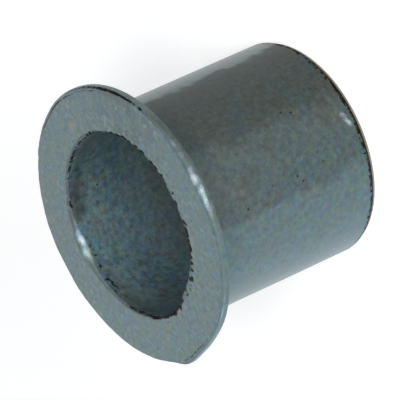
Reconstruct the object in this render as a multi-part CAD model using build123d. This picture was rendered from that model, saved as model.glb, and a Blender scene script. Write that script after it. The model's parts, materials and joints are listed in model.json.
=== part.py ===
from build123d import *
import os

# A plain flanged bushing, or top-hat bush, pressed from iron powder and sintered in one piece.
# It stands on its plain end. Its axis is Z, the flange is at the top, and the origin is the
# centre of the plain end. All sizes are in millimetres.

# What the shaft, the housing and the seat measure
bore_diameter = 19.05
wall_thickness = 1.5875
overall_length = 22.225
flange_width = 3.175            # from the outside of the tube to the rim
flange_thickness = 0.89

# Edges as the die and the tumbling barrel leave them
mouth_round = 0.40              # where the bore opens in the flange's face
rim_front_round = 0.30          # rim, on the side of the face
rim_back_round = 0.20           # rim, on the side of the tube
root_fillet = 0.20              # corner under the flange
lead_in_length = 0.65           # long taper that starts the tube in its housing
lead_in_depth = 0.30
bore_chamfer = 0.30             # 45 degrees, at the plain end

# Radii and heights that follow from them
bore_radius = bore_diameter / 2
tube_radius = bore_radius + wall_thickness
flange_radius = tube_radius + flange_width
flange_underside = overall_length - flange_thickness


def within(size, wall, share):
    """An edge's size, held to the share of the wall that leaves its neighbours room."""
    return min(size, share * wall)


def outline():
    """The half section with sharp corners: radius across, height up.

    It goes round from the bore chamfer at the plain end, up the outside of the tube, round the
    flange and back down the bore. The two tapers of the plain end are already in it.
    """
    chamfer = within(bore_chamfer, wall_thickness, 0.4)
    taper_depth = within(lead_in_depth, wall_thickness, 0.4)
    taper_length = within(lead_in_length, flange_underside, 0.4)
    corners = Polyline(
        (bore_radius + chamfer, 0),
        (tube_radius - taper_depth, 0),
        (tube_radius, taper_length),
        (tube_radius, flange_underside),
        (flange_radius, flange_underside),
        (flange_radius, overall_length),
        (bore_radius, overall_length),
        (bore_radius, chamfer),
        close=True,
    )
    return make_face(corners)


def round_corner(section, radius, height, size):
    """The section with its corner at that radius and height rounded off."""
    corner = section.vertices().sort_by_distance(Vertex(radius, height, 0))[0]
    return fillet(corner, size)


def half_section():
    """The outline with the rounded edges of the flange, its root and the bore's mouth."""
    section = outline()
    edges = [
        (bore_radius, overall_length, within(mouth_round, flange_thickness, 0.8)),
        (flange_radius, overall_length, within(rim_front_round, flange_thickness, 0.6)),
        (flange_radius, flange_underside, within(rim_back_round, flange_thickness, 0.3)),
        (tube_radius, flange_underside, within(root_fillet, flange_width, 0.4)),
    ]
    for radius, height, size in edges:
        section = round_corner(section, radius, height, size)
    return section


def make_bushing():
    """The half section turned once round the Z axis: tube and flange in one solid."""
    return revolve(Plane.XZ * half_section(), Axis.Z)


bushing = make_bushing()
bushing.label = "bushing"
os.makedirs("parts", exist_ok=True)
export_step(bushing, "parts/bushing.step")
print(f"bushing: {bushing.volume:.1f} cubic mm, {bushing.bounding_box().size}")
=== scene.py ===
# %% [markdown]
# # A flanged bushing of sintered iron
# A bushing is the plain bearing between a turning shaft and the hole it sits in. This one is iron
# powder, pressed in a die and sintered into one piece, so it has no seam and no second part. Its
# looks are all in the surface: rounded edges, some of them rubbed bright, a bent corner, black scale
# that crumbles at the mouth, fine open pores, and a satin grey oxide that drifts between blue, green
# and brown. Some light and shade is painted into the colour as well: highlights on the rubbed
# facets, a darker side of the tube, dark lines on the taper and the rim, darker places in the bore,
# and paler skin in the bore and on the face, with a light edge at the plain end.
#
# The lesson starts from the imported CAD model. It stands on its plain end, its axis is Z, and it
# stays as it is: one new surface is worked out around the same sizes and shown in its place.

# %% Load the frame
import json
import math

import bpy
import numpy as np
from mathutils import Matrix, Vector


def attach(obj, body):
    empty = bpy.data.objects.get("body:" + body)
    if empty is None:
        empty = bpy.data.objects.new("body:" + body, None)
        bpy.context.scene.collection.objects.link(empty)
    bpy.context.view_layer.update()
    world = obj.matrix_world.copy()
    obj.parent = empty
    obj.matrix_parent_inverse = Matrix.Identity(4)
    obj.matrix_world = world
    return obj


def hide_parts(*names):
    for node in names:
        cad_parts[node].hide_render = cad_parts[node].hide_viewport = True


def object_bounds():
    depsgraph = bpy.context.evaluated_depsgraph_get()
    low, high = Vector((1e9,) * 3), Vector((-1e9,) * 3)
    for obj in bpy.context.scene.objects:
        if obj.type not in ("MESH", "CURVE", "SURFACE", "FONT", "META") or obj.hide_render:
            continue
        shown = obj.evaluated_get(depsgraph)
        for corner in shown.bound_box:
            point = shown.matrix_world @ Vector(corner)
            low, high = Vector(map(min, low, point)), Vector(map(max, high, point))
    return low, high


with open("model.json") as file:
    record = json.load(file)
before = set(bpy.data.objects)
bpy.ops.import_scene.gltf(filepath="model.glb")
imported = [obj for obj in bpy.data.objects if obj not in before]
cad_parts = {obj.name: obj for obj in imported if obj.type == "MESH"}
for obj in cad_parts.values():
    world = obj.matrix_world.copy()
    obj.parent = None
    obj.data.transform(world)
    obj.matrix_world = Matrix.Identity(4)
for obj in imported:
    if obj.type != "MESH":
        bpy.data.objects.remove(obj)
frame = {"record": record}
cad_low, cad_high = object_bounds()
bpy.context.scene.view_settings.view_transform = "Standard"
print("CAD box in mm:", [round(1000 * side, 3) for side in cad_high - cad_low])

# %% [markdown]
# ## Sizes
# The record lists the faces that other parts fit to, so the bore, the outside of the tube and the
# underside of the flange are read from there. The rim is the widest point of the model. The sizes
# of the rounded edges are the ones that the part was drawn with.

# %% Sizes of the real part, in metres
MM = 0.001
mounts = {mount["name"]: mount for mount in frame["record"]["mounts"]}
BORE = mounts["bore"]["dims"]["r_mm"] * MM
TUBE = mounts["barrel"]["dims"]["r_mm"] * MM
UNDERSIDE = mounts["flange_seat"]["pos_m"][2]
HEIGHT = mounts["thrust_face"]["pos_m"][2]
RIM = max(cad_high.x, cad_high.y)

MOUTH_ROUND = 0.40 * MM
RIM_FRONT_ROUND = 0.30 * MM
RIM_BACK_ROUND = 0.20 * MM
ROOT_FILLET = 0.20 * MM
LEAD_IN_LENGTH = 0.65 * MM
LEAD_IN_DEPTH = 0.30 * MM
BORE_CHAMFER = 0.30 * MM
TUMBLED_EDGE = 0.08 * MM
print(f"radii in mm: bore {BORE / MM:.3f}, tube {TUBE / MM:.3f}, rim {RIM / MM:.3f}")

# %% [markdown]
# ## The camera
# It is made first, because the framing doesn't depend on anything below. The photograph is taken
# from far away, with lines along the tube that stay nearly parallel, so the lens is long. The
# bushing lies tilted in the picture. Here it stands upright, and the camera is rolled instead.
# The camera is placed so that the middle of the flange's face falls on its pixel.

# %% Camera
FRAME_PIXELS = 400
FACE_CENTRE_PIXEL = (128.5, 225.4)
TUBE_PIXELS = 114.8                      # the tube's radius, as large as it is at the face
DISTANCE = 0.556
ELEVATION = math.radians(32.5)
ROLL = math.radians(-114.4)
SENSOR_MM = 36.0

pixels_per_metre = TUBE_PIXELS / TUBE
level_right = np.array([1.0, 0.0, 0.0])
level_up = np.array([0.0, math.sin(ELEVATION), math.cos(ELEVATION)])
towards_camera = np.array([0.0, -math.cos(ELEVATION), math.sin(ELEVATION)])
right = math.cos(ROLL) * level_right + math.sin(ROLL) * level_up
up = math.cos(ROLL) * level_up - math.sin(ROLL) * level_right
across = (FACE_CENTRE_PIXEL[0] - FRAME_PIXELS / 2) / pixels_per_metre
above = (FRAME_PIXELS / 2 - FACE_CENTRE_PIXEL[1]) / pixels_per_metre
face_centre = np.array([0.0, 0.0, HEIGHT])

pose = np.eye(4)
pose[:3, 0] = right
pose[:3, 1] = up
pose[:3, 2] = towards_camera
pose[:3, 3] = face_centre - across * right - above * up + DISTANCE * towards_camera

camera_data = bpy.data.cameras.new("camera")
camera_data.sensor_width = SENSOR_MM
camera_data.lens = pixels_per_metre * DISTANCE * SENSOR_MM / FRAME_PIXELS
camera_data.clip_start = 0.05
camera_data.clip_end = 10.0
camera = bpy.data.objects.new("camera", camera_data)
camera.matrix_world = Matrix(pose)
bpy.context.scene.collection.objects.link(camera)
bpy.context.scene.camera = camera
print(f"lens {camera_data.lens:.0f} mm, {DISTANCE} m away")

# %% [markdown]
# ## The section
# Everything round can be made by carrying a profile round an axis, and this part is nothing else.
# The profile is a closed loop of radius and height, so the surface closes on itself like a ring
# and needs no caps or poles. The CAD mesh has the same section with few facets. Here the rounds
# get enough points to reflect light smoothly, and the tapers get the slight edge that tumbling
# leaves. Points are spent where the eye looks: most on the rounds and near the nicked plain end.

# %% Corners of the section, up the outside and down the bore
FINE_ABOVE_END = 2.8 * MM                # close rows of points up to here, for the nick
FINE_BESIDE_RIM = 0.55 * MM              # and on this much of the face, for the parting line

# Radius, height, size of the round, points on it, spacing of the points after it
corners = [
    (BORE + BORE_CHAMFER, 0.0, TUMBLED_EDGE, 5, 0.30 * MM),
    (TUBE - LEAD_IN_DEPTH, 0.0, TUMBLED_EDGE, 5, 0.12 * MM),
    (TUBE, LEAD_IN_LENGTH, TUMBLED_EDGE, 5, 0.08 * MM),
    (TUBE, FINE_ABOVE_END, 0.0, 1, 0.36 * MM),
    (TUBE, UNDERSIDE, ROOT_FILLET, 7, 0.40 * MM),
    (RIM, UNDERSIDE, RIM_BACK_ROUND, 7, 0.08 * MM),
    (RIM, HEIGHT, RIM_FRONT_ROUND, 9, 0.06 * MM),
    (RIM - FINE_BESIDE_RIM, HEIGHT, 0.0, 1, 0.22 * MM),
    (BORE, HEIGHT, MOUTH_ROUND, 11, 0.46 * MM),
    (BORE, BORE_CHAMFER, TUMBLED_EDGE, 5, 0.10 * MM),
]
END_FACE, LEAD_IN, TAPER_TOP, RIM_BACK, RIM_FRONT, MOUTH, CHAMFER = 0, 1, 2, 5, 6, 8, 9


def rounded_corner(before, corner, after, radius, count):
    """Points of the arc that rounds a corner off.

    The arc's centre lies on the line that halves the corner, radius / sin(half) away, where half
    is half the corner's angle. It touches both sides radius / tan(half) from the corner. Between
    the two touching points the spoke from the centre is turned evenly.
    """
    if count == 1:
        return corner[None]
    back = (before - corner) / np.linalg.norm(before - corner)
    onward = (after - corner) / np.linalg.norm(after - corner)
    half = 0.5 * math.acos(float(back @ onward))
    centre = corner + (back + onward) / np.linalg.norm(back + onward) * radius / math.sin(half)
    first = corner + back * radius / math.tan(half) - centre
    last = corner + onward * radius / math.tan(half) - centre
    turn = math.pi - 2 * half
    share = np.linspace(0.0, 1.0, count)[:, None]
    spokes = np.sin((1 - share) * turn) * first + np.sin(share * turn) * last
    return centre + spokes / math.sin(turn)


def closed_section(corners):
    """All points of the section in order, with the corner they belong to and a share.

    Arcs are joined by straight runs of evenly spaced points. The share goes from 0 to 1 along an
    arc, and from 1 to 2 along the run that follows it.
    """
    places = [np.array(corner[:2]) for corner in corners]
    arcs = [rounded_corner(places[i - 1], places[i], places[(i + 1) % len(places)], *corner[2:4])
            for i, corner in enumerate(corners)]
    points, owner, share = [], [], []
    for i, arc in enumerate(arcs):
        gap = arcs[(i + 1) % len(arcs)][0] - arc[-1]
        steps = max(2, round(np.linalg.norm(gap) / corners[i][4]))
        along = np.linspace(0, 1, steps + 1)[1:-1]
        points += [arc, arc[-1] + along[:, None] * gap]
        share += [np.linspace(0, 1, len(arc)), 1 + along]
        owner += [i] * (len(arc) + len(along))
    return np.vstack(points), np.array(owner), np.concatenate(share)


section, owner, share = closed_section(corners)
on_arc = np.where(share < 1, np.sin(np.pi * np.clip(share, 0, 1)), 0.0)
print(f"section: {len(section)} points, {(on_arc > 0).sum()} of them on rounded edges")

# %% [markdown]
# ## The surface
# The section is carried round the axis in even steps, which gives a grid of points: one row for
# each angle, one column for each point of the section. All that happened to the part afterwards is
# added to the whole grid at once. Two tools do it. Bells round the axis say where something
# happened, and waves in seeded directions keep it from looking drawn.

# %% Carry the section round the axis
AROUND = 440


def carried(profile, angle):
    """The profile's radius and height at each angle, as x, y and z."""
    turn = np.stack([np.cos(angle), np.sin(angle)], 1)[:, None, :]
    flat = turn * profile[None, :, :1]
    level = np.broadcast_to(profile[None, :, 1:], flat.shape[:2] + (1,))
    return np.concatenate([flat, level], 2)


def ring(points, count):
    """Grid of places and outward normals: radius * (cos a, sin a) and height, for each angle a.

    The section's normal is its tangent turned a quarter, from the neighbours on both sides.
    """
    angle = np.arange(count) * 2 * np.pi / count
    tangent = np.roll(points, -1, 0) - np.roll(points, 1, 0)
    normal = np.column_stack([tangent[:, 1], -tangent[:, 0]])
    normal /= np.linalg.norm(normal, axis=1, keepdims=True)
    return angle, carried(points, angle), carried(normal, angle)


def waves(place, longest, shortest, count, seed):
    """Unevenness without a grid: sines in seeded directions, their lengths between the two.

    The value at p is sqrt(2 / count) * sum of sin(2 pi (d . p) / length + phase), so its usual
    size is 1 whatever the count.
    """
    draw = np.random.default_rng(seed)
    directions = draw.normal(size=(count, 3))
    directions /= np.linalg.norm(directions, axis=1, keepdims=True)
    lengths = np.exp(draw.uniform(np.log(shortest), np.log(longest), count))
    phases = draw.uniform(0, 2 * np.pi, count)
    total = np.zeros(place.shape[:-1])
    for direction, length, phase in zip(directions, lengths, phases):
        total += np.sin(2 * np.pi * (place @ direction) / length + phase)
    return np.sqrt(2 / count) * total


def hump(angle, middle, width):
    """A bell round one angle in degrees: exp(-(turn / width)^2), with the turn the short way."""
    turn = (np.degrees(angle) - middle + 180) % 360 - 180
    return np.exp(-(turn / width) ** 2)


def summed(angle, stretches):
    """The sum of much * hump over stretches of much, middle and width."""
    return np.sum([much * hump(angle, middle, width) for much, middle, width in stretches], 0)


def strongest(angle, stretches):
    """The largest of much * hump over stretches of much, middle and width."""
    return np.max([much * hump(angle, middle, width) for much, middle, width in stretches], 0)


def rise(value, low, high):
    """0 up to low, 1 from high on, and t * t * (3 - 2 t) of the share t between them."""
    share = np.clip((value - low) / (high - low), 0, 1)
    return share * share * (3 - 2 * share)


def band(value, starts, full, fades, ends):
    """Rises from 0 to 1 between starts and full, and falls back between fades and ends."""
    return rise(value, starts, full) * (1 - rise(value, fades, ends))


angle, place, outward = ring(section, AROUND)
print(f"surface: {place.shape[0]} x {place.shape[1]} points")

# %% [markdown]
# ### Worn rounds
# No two stretches of a used edge have the same round. Opposite the camera, the mouth of the bore
# has a long rubbed facet that catches the light. The rim has one on the camera's side, and a
# softer one beyond. Elsewhere the mouth is as crisp as the punch left it. A round that grows isn't
# a bump on the old one: its points move as they would on a growing arc, and the faces beside it
# give way. Remodelling each edge by hand would show in the highlights, which follow the arc.

# %% Worn rounds
# A stretch is how much, its middle in degrees round the axis from +X, and its width in degrees
MOUTH_FACET = (0.48 * MM, 91, 9)
MOUTH_CRISP = 0.22 * MM                  # how much smaller the round is on the crisp stretches
CRISP_STRETCHES = [(1.0, -75, 75), (0.9, 42, 36), (0.85, 152, 42)]
RIM_FACETS = [(0.46 * MM, -84, 15), (0.30 * MM, 118, 32)]
GIVE_WAY = 0.8 * MM                      # how far beside the edge the faces move along
EDGE_WANDER = 0.035 * MM
WANDER_LENGTHS = (9 * MM, 1.2 * MM)
EXACT = 1e-9                             # closer than this is the same radius or height


def growth(index, inward):
    """How the section's points move when the round of one corner grows by one.

    On the arc it is the move of its centre plus the spoke. On the face and the wall beside it the
    move is away from the corner, and dies away as exp(-distance / GIVE_WAY).
    """
    centre = np.array(corners[index][:2]) + corners[index][2] * inward
    arc = (owner == index) & (share <= 1)
    move = np.zeros_like(section)
    move[arc] = inward + (section[arc] - centre) / corners[index][2]
    for end in (section[arc][0], section[arc][-1]):
        level = int(abs(end[1] - HEIGHT) < EXACT)
        beside = (np.abs(section[:, level] - end[level]) < EXACT) & ~arc
        away = np.linalg.norm(section - end, axis=1)
        side = inward * np.array([level, 1 - level])
        move[beside] = np.exp(-away[beside] / GIVE_WAY)[:, None] * side
    return move


def moved(place, much, move):
    """The grid plus much * move: much is per angle, move is the section's radius and height."""
    turn = np.stack([np.cos(angle), np.sin(angle)], 1)[:, None, :]
    flat = much[:, None, None] * move[None, :, :1] * turn
    level = np.broadcast_to((much[:, None] * move[None, :, 1])[..., None], flat[..., :1].shape)
    return place + np.concatenate([flat, level], 2)


edge_place = carried(np.array([[RIM, HEIGHT]]), angle)[:, 0]
mouth_wear = EDGE_WANDER * waves(edge_place, *WANDER_LENGTHS, count=24, seed=3)
mouth_wear += summed(angle, [MOUTH_FACET]) - MOUTH_CRISP * strongest(angle, CRISP_STRETCHES)
rim_wear = EDGE_WANDER * waves(edge_place, *WANDER_LENGTHS, count=24, seed=4)
rim_wear += summed(angle, RIM_FACETS)
place = moved(place, mouth_wear, growth(MOUTH, np.array([1.0, -1.0])))
place = moved(place, rim_wear, growth(RIM_FRONT, np.array([-1.0, -1.0])))
print(f"mouth round: {(MOUTH_ROUND + mouth_wear.min()) / MM:.2f} to "
      f"{(MOUTH_ROUND + mouth_wear.max()) / MM:.2f} mm")

# %% [markdown]
# ### A bent corner and a pushed-in mouth
# The real flange isn't quite round any more. Low in the picture one corner of it is bent out, and
# beside it the edge of the bore is pushed inward, so that the opening looks flattened there. Both
# are moves along the radius that fade with distance: the bend grows from the tube to the rim, and
# the push dies away along the face and down the bore.

# %% Bent corner and pushed-in mouth
BENT_OUT = [(0.38 * MM, -183, 7), (-0.10 * MM, -160, 9)]
BENDS_FROM = TUBE + 1.5 * MM             # radius where the bend starts
PUSHED_IN = [(0.75 * MM, -152, 21), (0.42 * MM, -93, 40)]
PUSH_REACH = 1.0 * MM
HAIR = 0.01 * MM                         # a margin for telling which face a point is on

flange = section[:, 1] > UNDERSIDE - HAIR
bend = rise(section[:, 0], BENDS_FROM, RIM) * flange
place = moved(place, summed(angle, BENT_OUT), np.column_stack([bend, np.zeros(len(section))]))
# Way from the mouth's corner: along the face outside it, and down the bore below it
from_mouth = np.abs(section[:, 0] - BORE) + np.abs(section[:, 1] - HEIGHT)
push = -np.exp(-from_mouth / PUSH_REACH)
place = moved(place, summed(angle, PUSHED_IN), np.column_stack([push, np.zeros(len(section))]))
print(f"rim reaches {np.hypot(place[..., 0], place[..., 1]).max() / MM:.2f} mm from the axis")

# %% [markdown]
# ### Knocks, chips, the parting line and the nick
# What is left is small and moves along the surface's own normal. Pressed faces wander by a
# hundredth of a millimetre, which bends the highlights. Knocks are soft dents in the rim and the
# mouth, with as many again on the rubbed stretch of the rim. Chips are tiny crumbs lost from the
# mouth's edge. The parting line is a faint groove in the flange's face, where the punch met the
# die. The nick is one short scratch near the plain end. The end that the part stands on stays flat.

# %% Moves along the normal
FACE_WANDER = 0.006 * MM
FACE_RELIEF = 0.0022 * MM
KNOCKS = 26                              # on the rim, and as many at the mouth
KNOCK_WIDTH = (0.22 * MM, 0.45 * MM)
KNOCK_DEPTH = (0.008 * MM, 0.035 * MM)
KNOCKED_STRETCH = (-112, -60)            # degrees, where the rim has as many again
KNOCK_SCATTER = 0.12 * MM
CHIPS = 120
CHIPPED_STRETCH = (-178, 5)
CHIP_SCATTER = 0.08 * MM
CHIP_WIDTH = (0.08 * MM, 0.22 * MM)
CHIP_DEPTH = 0.07 * MM
PARTING_STRETCHES = [(0.3, -20, 14), (0.6, 15, 24), (0.5, -172, 16)]
PARTING_IN = 0.40 * MM                   # its way in from the rim
PARTING_WIDTH = 0.07 * MM
PARTING_DEPTH = 0.03 * MM
NICK_FROM = (-82.5, 1.75 * MM)           # angle in degrees and height on the barrel
NICK_TO = (-90.7, 1.05 * MM)
NICK_DEPTH = 0.06 * MM
NICK_WIDTH = 0.33 * MM
FLAT_END = 0.4 * MM                      # nothing moves at the end, all of it from this height on


def knocks(place, centres, width, depth):
    """Small dents: the sum of depth * exp(-(distance / width)^2) over the centres."""
    total = np.zeros(place.shape[:-1])
    for centre, reach, deep in zip(centres, width, depth):
        away = ((place - centre) ** 2).sum(-1)
        total += deep * np.exp(-away / reach ** 2)
    return total


def scratch(angle, place, start, stop, width):
    """A groove along a line on the unrolled barrel, as a share of its depth.

    Across the line it is a bell of that width. Along it, it fades out at both ends, as
    exp(-(|2 t - 1| / 1.05)^6) of the share t of its length. Start and stop are an angle in
    degrees and a height.
    """
    round_way = TUBE * np.deg2rad((np.degrees(angle) + 180) % 360 - 180)[:, None]
    first, last = (np.array([TUBE * math.radians(turn), height]) for turn, height in (start, stop))
    length = np.linalg.norm(last - first)
    line = (last - first) / length
    here = np.stack([np.broadcast_to(round_way, place.shape[:2]), place[..., 2]], -1) - first
    along = here @ line / length
    aside = here @ np.array([-line[1], line[0]]) / width
    outside = np.hypot(place[..., 0], place[..., 1]) > 0.5 * (BORE + TUBE)
    return outside * np.exp(-aside ** 2 - (np.abs(2 * along - 1) / 1.05) ** 6)


def on_edge(radius, below_face, turns):
    """Places at that radius and that far below the flange's face, one for each angle."""
    return carried(np.array([[radius, HEIGHT - below_face]]), turns)[:, 0]


draw = np.random.default_rng(11)
rim_centres = on_edge(RIM - 0.08 * MM, 0.08 * MM, draw.uniform(0, 2 * np.pi, KNOCKS))
mouth_centres = on_edge(BORE + 0.1 * MM, 0.1 * MM, draw.uniform(0, 2 * np.pi, KNOCKS))
worn_turns = np.radians(draw.uniform(*KNOCKED_STRETCH, KNOCKS))
worn_centres = on_edge(RIM - 0.15 * MM, 0.15 * MM, worn_turns)
worn_centres += draw.normal(0, KNOCK_SCATTER, worn_centres.shape)
centres = np.vstack([rim_centres, mouth_centres, worn_centres])
width = draw.uniform(*KNOCK_WIDTH, len(centres))
depth = draw.uniform(*KNOCK_DEPTH, len(centres))
chip_turns = np.radians(draw.uniform(*CHIPPED_STRETCH, CHIPS))
chip_centres = on_edge(BORE + 0.10 * MM, 0.05 * MM, chip_turns)
chip_centres += draw.normal(0, CHIP_SCATTER, chip_centres.shape)
chipped = knocks(place, chip_centres, draw.uniform(*CHIP_WIDTH, CHIPS), np.ones(CHIPS))
chipped = np.clip(chipped, 0, 1)
nicked = scratch(angle, place, NICK_FROM, NICK_TO, NICK_WIDTH)
nicked *= np.clip(1 + 0.35 * waves(place, 1.2 * MM, 0.4 * MM, count=20, seed=7), 0, 1.4)
off_line = (section[:, 0] - (RIM - PARTING_IN)) / PARTING_WIDTH
parting = summed(angle, PARTING_STRETCHES)[:, None] * np.exp(-off_line ** 2)
parting = parting * (section[:, 1] > HEIGHT - HAIR)

lift = FACE_WANDER * waves(place, 16 * MM, 6 * MM, count=12, seed=1)
lift += FACE_RELIEF * waves(place, 2.4 * MM, 0.9 * MM, count=60, seed=2)
lift -= knocks(place, centres, width, depth) + CHIP_DEPTH * chipped
lift -= NICK_DEPTH * nicked + PARTING_DEPTH * parting
lift *= rise(section[:, 1], 0.0, FLAT_END)
place = place + outward * lift[..., None]
print(f"moves along the normal: {lift.min() / MM:.3f} to {lift.max() / MM:.3f} mm")

# %% [markdown]
# ## Where the finish differs
# Eight values per point tell the material what happened there, and where light and shade are
# painted. A painted map would do the same, but values that are worked out from the section stay on
# their edges whatever the sizes are.
#
# This cell makes the first three. Rubbed: an edge that stands out loses its oxide down to bright
# metal, most on the facets and in the nick. On the facets that catch the light, that bright colour
# is also a painted highlight. Punched: the flange's face met the flat punch. Rough: the front
# rounds met no die, except where they are rubbed.

# %% Rubbed with painted highlights, punched and rough
# How far the round of each corner is rubbed, all the way round
RUBBED = {MOUTH: 0.06, RIM_FRONT: 0.08, RIM_BACK: 0.10, TAPER_TOP: 0.1, LEAD_IN: 0.2, END_FACE: 0.2}
# And on stretches where the facets catch the light, so partly painted highlight: how much, the
# middle in degrees and the width in degrees
RUBBED_MOUTH_HIGHLIGHT = [(0.45, 90, 10)]
RUBBED_RIM_HIGHLIGHTS = [(0.45, -85, 15), (0.4, 97, 6)]
RUBBED_SMOOTH = [(1.0, 90, 14), (1.0, -89, 18)]
RUBBED_NICK = 0.75

# Which face a point is on, with margins for the rounds
top_face = section[:, 1] > HEIGHT - 0.1 * MM
bore_wall = section[:, 0] < BORE + 0.1 * MM
rim_side = (section[:, 0] > RIM - 0.2 * MM) & ~top_face
barrel = (section[:, 0] > TUBE - 0.02 * MM) & (section[:, 0] < TUBE + 0.3 * MM) & ~top_face

rubbed_section = np.sum([much * on_arc * (owner == i) for i, much in RUBBED.items()], 0)
# Painted highlight: bare metal colour on the stretches where the facets catch the light
worn_highlight_spot = np.zeros(place.shape[:2])
worn_highlight_spot[:, owner == MOUTH] = summed(angle, RUBBED_MOUTH_HIGHLIGHT)[:, None]
worn_highlight_spot[:, owner == RIM_FRONT] = summed(angle, RUBBED_RIM_HIGHLIGHTS)[:, None]
patchy = np.clip(1 + 0.5 * waves(place, 3 * MM, 0.8 * MM, count=30, seed=5), 0, 2)
rubbed_and_highlight = (rubbed_section + worn_highlight_spot * on_arc) * patchy
rubbed_and_highlight = np.clip(rubbed_and_highlight + RUBBED_NICK * nicked, 0, 1)
punched = np.tile(top_face & (section[:, 0] > BORE + 0.2 * MM), (AROUND, 1)).astype(float)
rough = np.tile(on_arc * ((owner == MOUTH) | (owner == RIM_FRONT)), (AROUND, 1))
rough *= 1 - np.clip(summed(angle, RUBBED_SMOOTH), 0, 1)[:, None]
print(f"points rubbed: {(rubbed_and_highlight > 0.3).sum()}, punched: {(punched > 0.5).sum()}")

# %% [markdown]
# ### Scale and painted shade
# Where no die ironed it, the part keeps the black scale of the furnace: in the parting line, in the
# chips and round the mouth of the bore. On the camera's side of the mouth it sits on the edge,
# where the face turns down. Beyond, it sits in the bore just under the edge. The same black is
# laid on the taper at the plain end and on one stretch of the rim's front, where it is partly scale
# and partly painted shade on faces that turn away from the light. The value says how much is left.
# The material adds a fine noise to it and cuts it off, so that about 0.5 gives loose crumbs and 1
# a solid coat.

# %% Scale and painted shade
# Black on the taper and just above it: partly scale, partly painted shade where it faces away
SCALE_AND_SHADE_ON_TAPER = 0.8
TAPER_SPLIT = 1.48                       # share along the taper: tan below it, black scale and painted shade above
SCALE_AND_SHADE_ABOVE_TAPER = 0.50
SCALE_AND_SHADE_FADES = 0.7 * MM
# Dark line along the rim's front round: partly scale, partly painted shade
SCALE_AND_SHADE_ON_RIM = [(0.72, -30, 26)]
SCALED_EDGE = [(0.42, -95, 85), (0.12, -145, 35), (0.25, -32, 18), (0.4, 178, 25)]
SCALED_BORE_NEAR = [(0.6, -30, 28)]
SCALED_BORE_FAR = [(0.52, 30, 30), (0.45, 62, 19), (0.43, 150, 30), (0.47, 178, 26)]
SCALED_DEEPER = [(0.41, 112, 48)]
EDGE_CRUMBS = (0.3 * MM, 0.62 * MM)      # way from the mouth's corner where they thin out
# Depth below the face where the crumbs start, are thickest, thin out and end
BORE_CRUMBS = (0.06 * MM, 0.16 * MM, 0.3 * MM, 1.3 * MM)
DEEPER_CRUMBS = (0.25 * MM, 0.4 * MM, 0.8 * MM, 1.8 * MM)
SCALED_PARTING = 1.3
SCALED_CHIPS = 0.7

scale_and_shade_section = np.zeros(len(section))
scale_and_shade_section[(owner == LEAD_IN) & (share > TAPER_SPLIT)] = SCALE_AND_SHADE_ON_TAPER
above_taper = (owner == TAPER_TOP) & (section[:, 0] > TUBE - 0.05 * MM)
fading = 1 - rise(section[:, 1], LEAD_IN_LENGTH, LEAD_IN_LENGTH + SCALE_AND_SHADE_FADES)
scale_and_shade_section[above_taper] = SCALE_AND_SHADE_ABOVE_TAPER * fading[above_taper]
scale_and_shade_section[(owner == CHAMFER) & (share > 0.5)] = 1.0
scale_and_shade = np.tile(scale_and_shade_section, (AROUND, 1))
front_line = on_arc * (owner == RIM_FRONT) * (share < 0.85)   # the round, up to the face
# Painted shade along the rim's front round, partly scale
scale_and_shade += summed(angle, SCALE_AND_SHADE_ON_RIM)[:, None] * front_line

below = HEIGHT - section[:, 1]
on_face = (1 - rise(from_mouth, *EDGE_CRUMBS)) * (section[:, 1] > HEIGHT - 0.3 * MM)
scale_and_shade += summed(angle, SCALED_EDGE)[:, None] * on_face
in_bore = band(below, *BORE_CRUMBS) * (section[:, 0] < BORE + 0.35 * MM)
under_edge = summed(angle, SCALED_BORE_NEAR) + strongest(angle, SCALED_BORE_FAR)
deeper = summed(angle, SCALED_DEEPER)[:, None] * band(below, *DEEPER_CRUMBS) * bore_wall
scale_and_shade += np.maximum(under_edge[:, None] * in_bore, deeper)
scale_and_shade = np.clip(scale_and_shade + SCALED_PARTING * parting + SCALED_CHIPS * chipped, 0, 1)
print(f"points under solid scale: {(scale_and_shade > 0.6).sum()}, with crumbs: {(scale_and_shade > 0.35).sum()}")

# %% [markdown]
# ### Rust, painted light and shade, and oil
# A few brown spots of rust sit on the face. The edge of the plain end is tan, partly rust and
# partly a painted reflection. One side of the tube and of the rim's side is painted darker and
# browner, as shade, and its edge is a wavy line. A noise in the material could give patches, but
# not one side with an edge, so the shade is laid here. Just inside the mouth of the bore it is
# painted shade too, and the bore is softly darker with depth. The bore's skin is paler, most near
# the mouth, and so is one stretch of the face: partly ironing by the sizing pin, partly painted
# light. One stretch of the face near the rim is stained. Where there is neither shade, stain nor
# scale, a film of fresh oil is left, and it draws back from the edges.

# %% Rust, painted light and shade, and oil
RUST_SPOTS = [(74.6, 13.6 * MM), (61, 13.6 * MM), (57, 13.6 * MM), (8, 11.2 * MM), (11, 11.2 * MM),
              (-112, 9.8 * MM), (-117, 9.8 * MM), (-122, 9.8 * MM), (-127, 9.8 * MM)]
RUST_SPOT_WIDTH = 0.35 * MM
RUST_SPOT = 0.25
# Tan on the edge of the plain end: partly rust, partly a painted reflection
RUST_AND_LIGHT_EDGE_ON_END = 0.8
SHADE_EDGE_WANDER = 1.6                        # degrees that the edge of the painted shade strays
# Degrees round the axis where painted shade starts, is full, fades and ends
BARREL_SHADE = (-114, -109, -27, -22)
RIM_SHADE = (-100, -90, -58, -48)
MOUTH_SHADE = (-45, -20, 68, 80)
SHADE_DARKENS = (-79, -66)
MOUTH_SHADE_FAR = [(0.8, 150, 38)]
FACE_STAIN = [(0.35, -38, 24)]
MOUTH_SHADE_DEPTH = (1.2 * MM, 2.6 * MM)
BORE_DARKENS_DEPTH = (7 * MM, 12 * MM)
# Paler skin, partly ironing and partly painted light: down the bore and on one stretch of the face
IRONED_AND_LIT_DEPTH = (7 * MM, 13 * MM)
LIT_FACE_STRETCH = [(0.16, 150, 45)]

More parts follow.
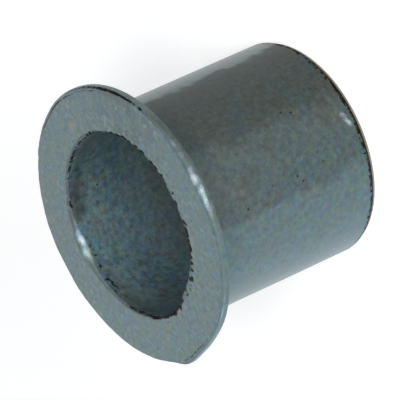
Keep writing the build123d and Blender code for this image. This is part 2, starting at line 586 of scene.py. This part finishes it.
rust_places = np.vstack([on_edge(radius, 0.0, np.radians([turn])) for turn, radius in RUST_SPOTS])
rust_widths = np.full(len(RUST_SPOTS), RUST_SPOT_WIDTH)
rust_and_light_edge = RUST_SPOT * knocks(place, rust_places, rust_widths, np.ones(len(RUST_SPOTS))) * patchy
# Painted reflection, partly rust: the tan edge of the plain end
rust_and_light_edge[:, (owner == LEAD_IN) & (share <= TAPER_SPLIT)] = RUST_AND_LIGHT_EDGE_ON_END
rust_and_light_edge[:, (owner == END_FACE) & (share > 1)] = RUST_AND_LIGHT_EDGE_ON_END
rust_and_light_edge = np.clip(rust_and_light_edge, 0, 1)

turned = (np.degrees(angle) + 180)[:, None] % 360 - 180
turned = turned + SHADE_EDGE_WANDER * waves(place, 5 * MM, 0.7 * MM, count=40, seed=6)
near_top = (1 - rise(below, *MOUTH_SHADE_DEPTH)) * (section[:, 0] < BORE + 0.4 * MM)
# Painted shade: one side of the tube and of the rim's side, the bore just inside its mouth, and
# darker deeper in the bore. On the face it is a stain.
stain_and_shade = band(turned, *BARREL_SHADE) * (0.55 + 0.45 * rise(turned, *SHADE_DARKENS)) * barrel
stain_and_shade += 0.6 * band(turned, *RIM_SHADE) * rim_side
stain_and_shade += 0.6 * rise(below, *BORE_DARKENS_DEPTH) * bore_wall
stain_and_shade += band(turned, *MOUTH_SHADE) * near_top
stain_and_shade += summed(angle, MOUTH_SHADE_FAR)[:, None] * near_top
stain_and_shade += summed(angle, FACE_STAIN)[:, None] * np.clip(patchy, 0, 1.5) * punched
stain_and_shade = np.clip(stain_and_shade, 0, 1)

# Painted light, partly ironing: paler skin down the bore and on one stretch of the face
ironed_and_lit = np.tile(bore_wall * (1 - rise(below, *IRONED_AND_LIT_DEPTH)), (AROUND, 1))
ironed_and_lit += summed(angle, LIT_FACE_STRETCH)[:, None] * punched
oiled = np.clip(1 - stain_and_shade - scale_and_shade, 0, 1) * (1 - 0.7 * on_arc)
print(f"points rusty: {(rust_and_light_edge > 0.1).sum()}, stained: {(stain_and_shade > 0.5).sum()}")

# %% [markdown]
# ## The mesh
# The grid closes on itself both ways, so each point joins to the next in its row and column, and
# the last to the first. Every face is a quad with its normal outward. The values go along as point
# attributes, which the material reads by name.

# %% Build the mesh
def mesh_from_grid(name, grid):
    """A mesh of quads from a grid of points that closes on itself both ways."""
    around, along = grid.shape[:2]
    index = np.arange(around * along).reshape(around, along)
    ahead = np.roll(index, -1, 0)
    quads = np.stack([index, ahead, np.roll(ahead, -1, 1), np.roll(index, -1, 1)], 2)
    mesh = bpy.data.meshes.new(name)
    mesh.from_pydata(grid.reshape(-1, 3).tolist(), [], quads.reshape(-1, 4).tolist())
    mesh.polygons.foreach_set("use_smooth", np.ones(len(mesh.polygons), bool))
    mesh.update()
    return mesh


def note(mesh, name, values):
    """Keeps one value per point on the mesh, for the material to read by name."""
    attribute = mesh.attributes.new(name, "FLOAT", "POINT")
    attribute.data.foreach_set("value", np.ascontiguousarray(values, np.float32).ravel())


finish = {"rubbed_and_highlight": rubbed_and_highlight, "scale_and_shade": scale_and_shade, "punched": punched, "ironed_and_lit": ironed_and_lit,
          "stain_and_shade": stain_and_shade, "rust_and_light_edge": rust_and_light_edge, "rough": rough, "oiled": oiled}
mesh = mesh_from_grid("flanged_bushing", place)
for name, values in finish.items():
    note(mesh, name, values)
bushing = bpy.data.objects.new("flanged_bushing", mesh)
bpy.context.scene.collection.objects.link(bushing)
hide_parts("bushing")
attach(bushing, "root")
print(f"mesh: {2 * len(mesh.polygons)} triangles")

# %% [markdown]
# ## The material
# Sintered iron is grains of iron about a tenth of a millimetre across, welded where they touch.
# After the furnace it is blued in steam: a thin skin of magnetite, dark blue-grey, that oil stains
# brown in patches. The dies iron the faces to a satin. So to the eye it is mostly a dull blue-grey
# that drifts in hue, with a weak metallic sheen, a faint gloss of oil on top, dark pores, and
# bright metal where the skin is rubbed through. Light and shade are painted in as well: a darker
# side, black lines, paler places and highlights.
#
# The colour could be one noise from dark to light, but then it looks like stone. Here each cause
# is its own layer, and each layer is a small function: the skin and its hue with painted light,
# dried oil with painted shade, grains, rust with a painted reflection, scale with painted shade,
# bare metal with painted highlights, and the pores last, because they are open through all of it.

# %% Helpers for shader nodes
def linear(hex_colour):
    """An sRGB hex colour as the linear red, green, blue and alpha that a shader works in."""
    values = np.array([int(hex_colour[i:i + 2], 16) / 255 for i in (1, 3, 5)])
    curved = np.where(values <= 0.04045, values / 12.92, ((values + 0.055) / 1.055) ** 2.4)
    return (*curved.tolist(), 1.0)


def add(tree, kind, gives, sockets=None, **settings):
    """Adds one shader node and returns the output that it gives.

    Settings are the node's own properties. Sockets are given by identifier, because some share a
    name, each as a value, a hex colour or the output that feeds it.
    """
    made = tree.nodes.new("ShaderNode" + kind)
    for name, value in settings.items():
        setattr(made, name, value)
    inputs = {socket.identifier: socket for socket in made.inputs}
    for name, value in (sockets or {}).items():
        if isinstance(value, bpy.types.NodeSocket):
            tree.links.new(value, inputs[name])
        elif isinstance(value, str):
            inputs[name].default_value = linear(value)
        else:
            inputs[name].default_value = value
    return {socket.identifier: socket for socket in made.outputs}[gives]


# %% Sizes and colours of the finish
GRAIN = 0.15 * MM         # a coarse powder grain: the finest ones don't show at this size
MOTTLE = 0.60 * MM        # patches where the grains lie denser or the skin is thicker
DRIFT = 1.0 * MM          # patches of another hue, where the skin is a shade thicker
STAIN = 4.0 * MM          # oil stains, a few millimetres wide
BLOTCH = 0.45 * MM        # clusters of grains that stand out, light or dark
CRUMB = 0.38 * MM         # crumbs of scale, drawn coarser than the real ones, or they would be lost
PORE_SPACING = 1.00 * MM
PORE_RADIUS = 0.15 * MM   # drawn a little larger than the real pores for the same reason
SHAKE = 0.2 * MM          # waves of the noise that makes pores uneven
SHAKE_BY = 0.12 * MM      # and how far it moves them
PITS = [(-69.7, 7.64 * MM), (-71.9, 6.67 * MM), (-102.5, 9.16 * MM), (-106.0, 8.65 * MM),
        (-107.5, 15.74 * MM)]            # angle in degrees and height on the barrel
PIT_RADIUS = 0.17 * MM
BUMP_HEIGHT = 0.015 * MM

# How light and dark the grains are over the skin's own colour, and how much of that contrast is
# left where the barrel is fresh and calm
GRAIN_SHADES = (0.52, 1.48)
CALM = 0.62
# What comes back as a reflection
OXIDE_METALLIC = 0.28     # oxide is no metal, but so thin a skin lets some of the sheen through
BARE_METALLIC = 0.75      # rubbed iron, with oxide left between its grains
SATIN = (0.44, 0.54)      # roughness, from dense patches of the skin to open ones
UNPRESSED_ROUGHER = 0.3   # scale and edges that met no die are rougher by this
SPECULAR = 0.5            # the usual level for a surface of this kind
SPECULAR_IN_HOLES = 0.06  # scale and pores return next to nothing
OIL_FILM = 0.45
OIL_ROUGHNESS = 0.25
BUMP_STRENGTH = 0.11

SKIN = "#5a7274"          # magnetite on the barrel
PUNCHED_SKIN = "#527173"
# Paler skin, where ironed and where light is painted
IRONED_AND_LIT_SKIN = "#6f8b92"
WARM, COOL = "#ffefde", "#deefff"        # tints that the skin is multiplied by
GREENISH, VIOLET = "#f0fff2", "#fff0ff"
DRIED_OIL = "#5b5a52"
# Painted shade: multiplies the skin on the shaded side of the tube and in the bore
PAINTED_SHADE_TINT = "#bfb7af"
BRIGHT_GRAIN = "#a9bbbf"
DULL_GRAIN = "#3c4243"
UNPRESSED = "#646b6b"
# Rust, also the tan painted reflection on the edge of the plain end
RUST_AND_LIGHT_EDGE = "#968669"
# Black scale, also used as painted shade on the taper and the rim
BLACK_SCALE_AND_SHADE = "#1c1b1a"
# Bare iron, also the colour of the painted highlights on the facets
BARE_IRON_HIGHLIGHT = "#a0adb3"
OPEN_PORE = "#22282a"

print(f"texture scales: {1 / GRAIN:.0f} for the grain, {1 / STAIN:.0f} for the stain")

# %% [markdown]
# ### Pores
# About a fifth of pressed and sintered iron is air, and what shows of it at the surface is pores a
# few hundredths of a millimetre wide. Holes in the mesh would need millions of faces, so they are
# dark specks that also go into the bump: one to a cell, each of its own size.

# %% Pores
def specks(tree, at, spacing, radius):
    """Round specks, one to a cell, each of its own size: 1 inside and 0 outside."""
    cells = add(tree, "TexVoronoi", "Distance", {"Vector": at, "Scale": 1 / spacing})
    own = add(tree, "SeparateColor", "Red", {"Color": cells.node.outputs["Color"]})
    size = add(tree, "MapRange", "Result",
               {"Value": own, "To Min": 0.2 * radius / spacing, "To Max": radius / spacing})
    inner = add(tree, "Math", "Value", {"Value": size, "Value_001": 0.2}, operation="MULTIPLY")
    return add(tree, "MapRange", "Result", {"Value": cells, "From Min": inner, "From Max": size,
                                            "To Min": 1.0, "To Max": 0.0},
               interpolation_type="SMOOTHSTEP")


def open_pores(tree, at):
    """Small pores all over, and the few large ones on the barrel: 1 inside and 0 outside."""
    # Pores aren't round: the place they are looked up at is shaken a little
    shake = add(tree, "TexNoise", "Color", {"Vector": at, "Scale": 1 / SHAKE, "Detail": 1.0})
    shaken = add(tree, "VectorMath", "Vector",
                 {"Vector": shake, "Vector_001": (SHAKE_BY,) * 3, "Vector_002": at},
                 operation="MULTIPLY_ADD")
    pore = specks(tree, shaken, PORE_SPACING, PORE_RADIUS)
    for turn, height in PITS:
        # The noise is around a half, so it moves a pit by half its reach
        centre = [TUBE * math.cos(math.radians(turn)) + 0.5 * SHAKE_BY,
                  TUBE * math.sin(math.radians(turn)) + 0.5 * SHAKE_BY,
                  height + 0.5 * SHAKE_BY]
        away = add(tree, "VectorMath", "Value", {"Vector": shaken, "Vector_001": centre},
                   operation="DISTANCE")
        pit = add(tree, "MapRange", "Result", {"Value": away, "From Min": 0.4 * PIT_RADIUS,
                                               "From Max": PIT_RADIUS, "To Min": 1.0,
                                               "To Max": 0.0}, interpolation_type="SMOOTHSTEP")
        pore = add(tree, "Math", "Value", {"Value": pore, "Value_001": pit}, operation="MAXIMUM")
    return pore


# %% [markdown]
# ### The skin and the oil on it
# Steam leaves a few thousandths of a millimetre of magnetite. Its colour depends on how thick it
# is, so the hue drifts from place to place, by very little. Tints that multiply the skin do that
# without changing how light or dark it is. Two drifts that run apart, warm to cool and green to
# violet, look like oxide. One alone looks like dirt.

# %% The skin and the oil on it
def magnetite(tree, at, marks):
    """The skin of oxide, a little bluer on the punched face, paler in the bore and on one stretch
    of the face: partly ironed, partly painted light.

    Its hue drifts between warm and cool, and between green and violet. The first drift is
    strongest on the face and in the bore, where a tool pressed.
    """
    skin = add(tree, "Mix", "Result_Color",
               {"Factor_Float": marks["punched"], "A_Color": SKIN, "B_Color": PUNCHED_SKIN},
               data_type="RGBA")
    skin = add(tree, "Mix", "Result_Color",
               {"Factor_Float": marks["ironed_and_lit"], "A_Color": skin, "B_Color": IRONED_AND_LIT_SKIN},
               data_type="RGBA")
    hue = add(tree, "TexNoise", "Fac", {"Vector": at, "Scale": 1 / DRIFT, "Detail": 2.0,
                                        "Roughness": 0.55, "Distortion": 0.4})
    reach = add(tree, "Math", "Value",
                {"Value": marks["ironed_and_lit"], "Value_001": -0.07, "Value_002": 0.19},
                operation="MULTIPLY_ADD")
    reach = add(tree, "Math", "Value",
                {"Value": marks["punched"], "Value_001": -0.07, "Value_002": reach},
                operation="MULTIPLY_ADD")
    coldest = add(tree, "Math", "Value", {"Value": 0.5, "Value_001": reach}, operation="ADD")
    warmest = add(tree, "Math", "Value", {"Value": 0.5, "Value_001": reach},
                  operation="SUBTRACT")
    drift = add(tree, "MapRange", "Result",
                {"Value": hue, "From Min": warmest, "From Max": coldest})
    tone = add(tree, "Mix", "Result_Color",
               {"Factor_Float": drift, "A_Color": WARM, "B_Color": COOL}, data_type="RGBA")
    skin = add(tree, "Mix", "Result_Color",
               {"Factor_Float": 1.0, "A_Color": skin, "B_Color": tone},
               data_type="RGBA", blend_type="MULTIPLY")
    tint = add(tree, "TexNoise", "Fac", {"Vector": at, "Scale": 1 / (0.8 * DRIFT),
                                         "Detail": 2.0, "Distortion": 1.0})
    leaning = add(tree, "MapRange", "Result", {"Value": tint, "From Min": 0.38, "From Max": 0.62})
    tone = add(tree, "Mix", "Result_Color",
               {"Factor_Float": leaning, "A_Color": GREENISH, "B_Color": VIOLET},
               data_type="RGBA")
    return add(tree, "Mix", "Result_Color",
               {"Factor_Float": 1.0, "A_Color": skin, "B_Color": tone},
               data_type="RGBA", blend_type="MULTIPLY")


def with_dried_oil_and_shade(tree, skin, at, marks):
    """Brown patches of dried oil, little on the face, and painted shade that darkens one side."""
    patches = add(tree, "TexNoise", "Fac", {"Vector": at, "Scale": 1 / STAIN, "Detail": 4.0,
                                            "Roughness": 0.6})
    # The brown patches lean a little to where shade is painted
    oily = add(tree, "Math", "Value",
               {"Value": marks["stain_and_shade"], "Value_001": 0.10, "Value_002": patches},
               operation="MULTIPLY_ADD")
    browned = add(tree, "MapRange", "Result",
                  {"Value": oily, "From Min": 0.52, "From Max": 0.76, "To Max": 0.5})
    kept = add(tree, "MapRange", "Result",
               {"Value": marks["punched"], "To Min": 1.0, "To Max": 0.15})
    browned = add(tree, "Math", "Value", {"Value": browned, "Value_001": kept},
                  operation="MULTIPLY")
    skin = add(tree, "Mix", "Result_Color",
               {"Factor_Float": browned, "A_Color": skin, "B_Color": DRIED_OIL},
               data_type="RGBA")
    # Painted shade: the skin is darker and browner where the mesh says so
    return add(tree, "Mix", "Result_Color",
               {"Factor_Float": marks["stain_and_shade"], "A_Color": skin, "B_Color": PAINTED_SHADE_TINT},
               data_type="RGBA", blend_type="MULTIPLY")


# %% [markdown]
# ### Grains, and scale with painted shade
# Under the skin are the grains. Light and dark from one to the next is what tells sintered iron
# from steel. The scale, and the painted shade that shares its mask, is drawn by adding a noise to
# what the mesh says is left of it and cutting the sum off sharply, which gives the ragged edge and
# the loose crumbs of the real one.

# %% Grains, and scale with painted shade
def with_grains(tree, skin, at, grain, mottle, marks):
    """The play of light and dark from grain to grain, and the clusters that stand out.

    The fresh side of the barrel, ironed by the die and outside the painted shade, is the calmest.
    Bright clusters show most on the punched face, and dull ones only where the face is stained.
    """
    shade = add(tree, "Math", "Value",
                {"Value": grain, "Value_001": 0.2, "Value_002": mottle},
                operation="MULTIPLY_ADD")
    shade = add(tree, "MapRange", "Result", {"Value": shade, "From Min": 0.325, "From Max": 0.875,
                                             "To Min": GRAIN_SHADES[0],
                                             "To Max": GRAIN_SHADES[1]})
    busy = add(tree, "Math", "Value",
               {"Value": marks["punched"], "Value_001": marks["ironed_and_lit"]}, operation="ADD")
    busy = add(tree, "Math", "Value", {"Value": busy, "Value_001": marks["stain_and_shade"]},
               operation="ADD")
    much = add(tree, "MapRange", "Result", {"Value": busy, "To Min": CALM, "To Max": 1.0})
    skin = add(tree, "Mix", "Result_Color",
               {"Factor_Float": much, "A_Color": skin, "B_Color": shade},
               data_type="RGBA", blend_type="MULTIPLY")

    clusters = add(tree, "TexNoise", "Fac", {"Vector": at, "Scale": 1 / BLOTCH, "Detail": 2.0})
    freckled = add(tree, "Math", "Value",
                   {"Value": marks["punched"], "Value_001": marks["stain_and_shade"]},
                   operation="MULTIPLY")
    flecks = add(tree, "MapRange", "Result",
                 {"Value": marks["punched"], "To Min": 0.05, "To Max": 0.20})
    flecks = add(tree, "Math", "Value",
                 {"Value": freckled, "Value_001": 0.32, "Value_002": flecks},
                 operation="MULTIPLY_ADD")
    bright = add(tree, "MapRange", "Result",
                 {"Value": clusters, "From Min": 0.58, "From Max": 0.70},
                 interpolation_type="SMOOTHSTEP")
    bright = add(tree, "Math", "Value", {"Value": bright, "Value_001": flecks},
                 operation="MULTIPLY")
    skin = add(tree, "Mix", "Result_Color",
               {"Factor_Float": bright, "A_Color": skin, "B_Color": BRIGHT_GRAIN},
               data_type="RGBA")
    dull = add(tree, "MapRange", "Result",
               {"Value": clusters, "From Min": 0.31, "From Max": 0.41, "To Min": 1.0,
                "To Max": 0.0}, interpolation_type="SMOOTHSTEP")
    dull = add(tree, "Math", "Value", {"Value": dull, "Value_001": freckled},
               operation="MULTIPLY")
    return add(tree, "Mix", "Result_Color",
               {"Factor_Float": dull, "A_Color": skin, "B_Color": DULL_GRAIN},
               data_type="RGBA")


def scale_and_shade_cover(tree, at, marks):
    """1 under scale and painted shade: they break up into crumbs where the mesh says they are thin.
    """
    crumbs = add(tree, "TexNoise", "Fac", {"Vector": at, "Scale": 1 / CRUMB, "Detail": 2.0})
    scale_shade = add(tree, "Math", "Value", {"Value": marks["scale_and_shade"], "Value_001": crumbs},
                operation="ADD")
    return add(tree, "MapRange", "Result", {"Value": scale_shade, "From Min": 0.88, "From Max": 1.04},
               interpolation_type="SMOOTHSTEP")


# %% [markdown]
# ### The whole finish
# Colour is one half of it. The other half is what comes back as a reflection: the skin is a satin
# that lets some of the metal's sheen through, rubbed edges are metal, oil adds a gloss, and scale
# and pores return next to nothing. Dark paint alone would mirror the white room and look grey.

# %% Sintered iron, blued in steam
def steam_blued_iron(names):
    """Pressed, sintered, sized and steam-blued iron, with a trace of oil.

    To the eye it is satin and a little metallic. Scale, the painted shade on the taper and the rim,
    and open pores are dull black, rubbed edges are bright metal with painted highlights, and the
    film of oil adds a tighter sheen. The names are the mesh's values.
    """
    material = bpy.data.materials.new("steam_blued_sintered_iron")
    material.use_nodes = True
    tree = material.node_tree
    shader = tree.nodes["Principled BSDF"]
    at = add(tree, "TexCoord", "Object")
    marks = {name: add(tree, "Attribute", "Fac", attribute_name=name) for name in names}
    grain = add(tree, "TexNoise", "Fac", {"Vector": at, "Scale": 1 / GRAIN, "Detail": 2.0,
                                          "Roughness": 0.6})
    mottle = add(tree, "TexNoise", "Fac", {"Vector": at, "Scale": 1 / MOTTLE, "Detail": 2.0,
                                           "Roughness": 0.6})
    pore = open_pores(tree, at)
    scale_shade = scale_and_shade_cover(tree, at, marks)
    # Bare iron, on the facets also a painted highlight, shows in patches the size of grains
    bare_and_highlight = add(tree, "Math", "Value", {"Value": marks["rubbed_and_highlight"], "Value_001": grain},
               operation="MULTIPLY")
    bare_and_highlight = add(tree, "MapRange", "Result", {"Value": bare_and_highlight, "From Min": 0.08, "From Max": 0.42})

    skin = magnetite(tree, at, marks)
    skin = with_dried_oil_and_shade(tree, skin, at, marks)
    skin = with_grains(tree, skin, at, grain, mottle, marks)
    greyer = add(tree, "Math", "Value", {"Value": marks["rough"], "Value_001": 0.6},
                 operation="MULTIPLY")
    # Over the skin: grey unpressed edges, rust and a painted reflection, black scale and painted
    # shade, bare iron with painted highlights, and open pores
    for where, colour in ((greyer, UNPRESSED), (marks["rust_and_light_edge"], RUST_AND_LIGHT_EDGE), (scale_shade, BLACK_SCALE_AND_SHADE),
                          (bare_and_highlight, BARE_IRON_HIGHLIGHT), (pore, OPEN_PORE)):
        skin = add(tree, "Mix", "Result_Color",
                   {"Factor_Float": where, "A_Color": skin, "B_Color": colour},
                   data_type="RGBA")
    tree.links.new(skin, shader.inputs["Base Color"])

    # The oxide is thin enough to let some of the metal's sheen through, the scale isn't
    coarse = add(tree, "Math", "Value", {"Value": scale_shade, "Value_001": marks["rough"]},
                 operation="MAXIMUM")
    metal = add(tree, "MapRange", "Result",
                {"Value": coarse, "To Min": OXIDE_METALLIC, "To Max": 0.0})
    metal = add(tree, "MapRange", "Result",
                {"Value": bare_and_highlight, "To Min": metal, "To Max": BARE_METALLIC})
    tree.links.new(metal, shader.inputs["Metallic"])
    satin = add(tree, "MapRange", "Result", {"Value": mottle, "From Min": 0.35, "From Max": 0.65,
                                             "To Min": SATIN[0], "To Max": SATIN[1]})
    satin = add(tree, "Math", "Value",
                {"Value": coarse, "Value_001": UNPRESSED_ROUGHER, "Value_002": satin},
                operation="MULTIPLY_ADD")
    tree.links.new(satin, shader.inputs["Roughness"])
    # Scale, the painted shade and open pores swallow light: almost nothing comes back as a
    # reflection
    black = add(tree, "Math", "Value", {"Value": scale_shade, "Value_001": pore}, operation="MAXIMUM")
    shine = add(tree, "MapRange", "Result",
                {"Value": black, "To Min": SPECULAR, "To Max": SPECULAR_IN_HOLES})
    tree.links.new(shine, shader.inputs["Specular IOR Level"])
    # Oil: a film so thin that it only adds a second, tighter sheen
    film = add(tree, "MapRange", "Result", {"Value": marks["oiled"], "To Max": OIL_FILM})
    tree.links.new(film, shader.inputs["Coat Weight"])
    shader.inputs["Coat Roughness"].default_value = OIL_ROUGHNESS

    # Grains stand out and pores lie deep, more so on rubbed edges, where the light breaks up
    relief = add(tree, "Math", "Value", {"Value": grain, "Value_001": pore}, operation="SUBTRACT")
    dented = add(tree, "MapRange", "Result",
                 {"Value": marks["rubbed_and_highlight"], "From Min": 0.1, "From Max": 0.5, "To Min": 1.0,
                  "To Max": 6.0})
    relief = add(tree, "Math", "Value", {"Value": relief, "Value_001": dented},
                 operation="MULTIPLY")
    bump = add(tree, "Bump", "Normal",
               {"Height": relief, "Strength": BUMP_STRENGTH, "Distance": BUMP_HEIGHT})
    tree.links.new(bump, shader.inputs["Normal"])
    tree.links.new(bump, shader.inputs["Coat Normal"])
    return material


iron = steam_blued_iron(finish)
bushing.data.materials.append(iron)
print(f"material: {iron.name}, {len(iron.node_tree.nodes)} nodes")

# %% [markdown]
# ## The floor
# A white sheet in a white room, as for a parts catalogue. Both are white to the camera and in
# reflections, but throw little light back, so that the shaded side of the tube stays dark.

# %% Floor and world
SHEET_SEEN = "#bcbcbc"                   # the sheet for the camera and in reflections
SHEET_SCATTER = "#595959"                # and for light that it scatters on the part
SHEET_GLOW = 0.735                       # lifts the seen sheet to white, and keeps its shadow
FLOOR_HALF = 0.5


def seen_directly(tree):
    """1 for a ray from the camera, a reflection or a view through, 0 for scattered light."""
    kinds = add(tree, "LightPath", "Is Camera Ray").node.outputs
    first = add(tree, "Math", "Value", {"Value": kinds["Is Camera Ray"],
                                        "Value_001": kinds["Is Glossy Ray"]}, operation="MAXIMUM")
    return add(tree, "Math", "Value", {"Value": first,
                                       "Value_001": kinds["Is Transmission Ray"]},
               operation="MAXIMUM")


def white_sheet():
    """Matt white paper without any gloss, dimmed for scattered light only."""
    material = bpy.data.materials.new("matt_white_sheet")
    material.use_nodes = True
    tree = material.node_tree
    shader = tree.nodes["Principled BSDF"]
    seen = seen_directly(tree)
    paper = add(tree, "Mix", "Result_Color",
                {"Factor_Float": seen, "A_Color": SHEET_SCATTER, "B_Color": SHEET_SEEN},
                data_type="RGBA")
    tree.links.new(paper, shader.inputs["Base Color"])
    glow = add(tree, "Math", "Value", {"Value": seen, "Value_001": SHEET_GLOW},
               operation="MULTIPLY")
    tree.links.new(glow, shader.inputs["Emission Strength"])
    shader.inputs["Emission Color"].default_value = (1.0, 1.0, 1.0, 1.0)
    shader.inputs["Roughness"].default_value = 1.0
    shader.inputs["Specular IOR Level"].default_value = 0.0
    return material


floor_mesh = bpy.data.meshes.new("floor")
floor_mesh.from_pydata([(x * FLOOR_HALF, y * FLOOR_HALF, 0.0)
                        for x, y in ((-1, -1), (1, -1), (1, 1), (-1, 1))], [], [(0, 1, 2, 3)])
floor_mesh.materials.append(white_sheet())
floor = bpy.data.objects.new("floor", floor_mesh)
bpy.context.scene.collection.objects.link(floor)

world = bpy.data.worlds.new("studio")
bpy.context.scene.world = world
world.use_nodes = True
background = world.node_tree.nodes["Background"]
background.inputs["Color"].default_value = (1.0, 1.0, 1.0, 1.0)
world.node_tree.links.new(seen_directly(world.node_tree), background.inputs["Strength"])
print(f"floor: {2 * FLOOR_HALF} m square")

# %% [markdown]
# ## The light
# The light in the photo is soft and comes from several sides. A light tent would give the same
# white and would flatten the tube. Lamps that each light one side keep the bands of light and dark
# that make a cylinder look round.

# %% Lamps
def lamp(name, towards, elevation, distance, size, power, colour="#ffffff"):
    """A square area lamp that faces the bushing.

    It stands at an angle round the axis, in degrees from the camera's side towards -X, and at an
    elevation above the floor. Distance and size are in metres, power in watts.
    """
    round_way = math.radians(towards)
    upward = math.radians(elevation)
    direction = Vector((-math.sin(round_way) * math.cos(upward),
                        -math.cos(round_way) * math.cos(upward), math.sin(upward)))
    data = bpy.data.lights.new(name, "AREA")
    data.size = size
    data.energy = power
    data.color = linear(colour)[:3]
    made = bpy.data.objects.new(name, data)
    middle = Vector((0, 0, HEIGHT / 2))
    facing = direction.to_track_quat("Z", "Y").to_matrix().to_4x4()
    made.matrix_world = Matrix.Translation(middle + distance * direction) @ facing
    bpy.context.scene.collection.objects.link(made)
    return made


# The flange's face, the far wall of the bore, and the rubbed facets that shine in it
lamp("key", 4, 48, 0.6, 0.15, 1.8)
# The camera's side of the tube, which would be too dark otherwise
lamp("front", 3, 12, 0.6, 0.25, 1.9)
# A little onto the face from straight above
lamp("over", 0, 89, 0.6, 0.20, 0.2)
# The bright side of the tube, low in the picture, and the narrow bright strip on the other side
lamp("side", 95, 4, 1.2, 0.13, 10.6, "#c8e9ff")
lamp("strip", -155, 4, 1.2, 0.12, 2.8, "#e6f3ff")
# A wide soft one behind, where the flange's face mirrors it to the camera
lamp("back", 180, 31, 0.6, 0.60, 0.45)
lamps = [item for item in bpy.context.scene.objects if item.type == "LIGHT"]
print("lamps:", ", ".join(item.name for item in lamps))
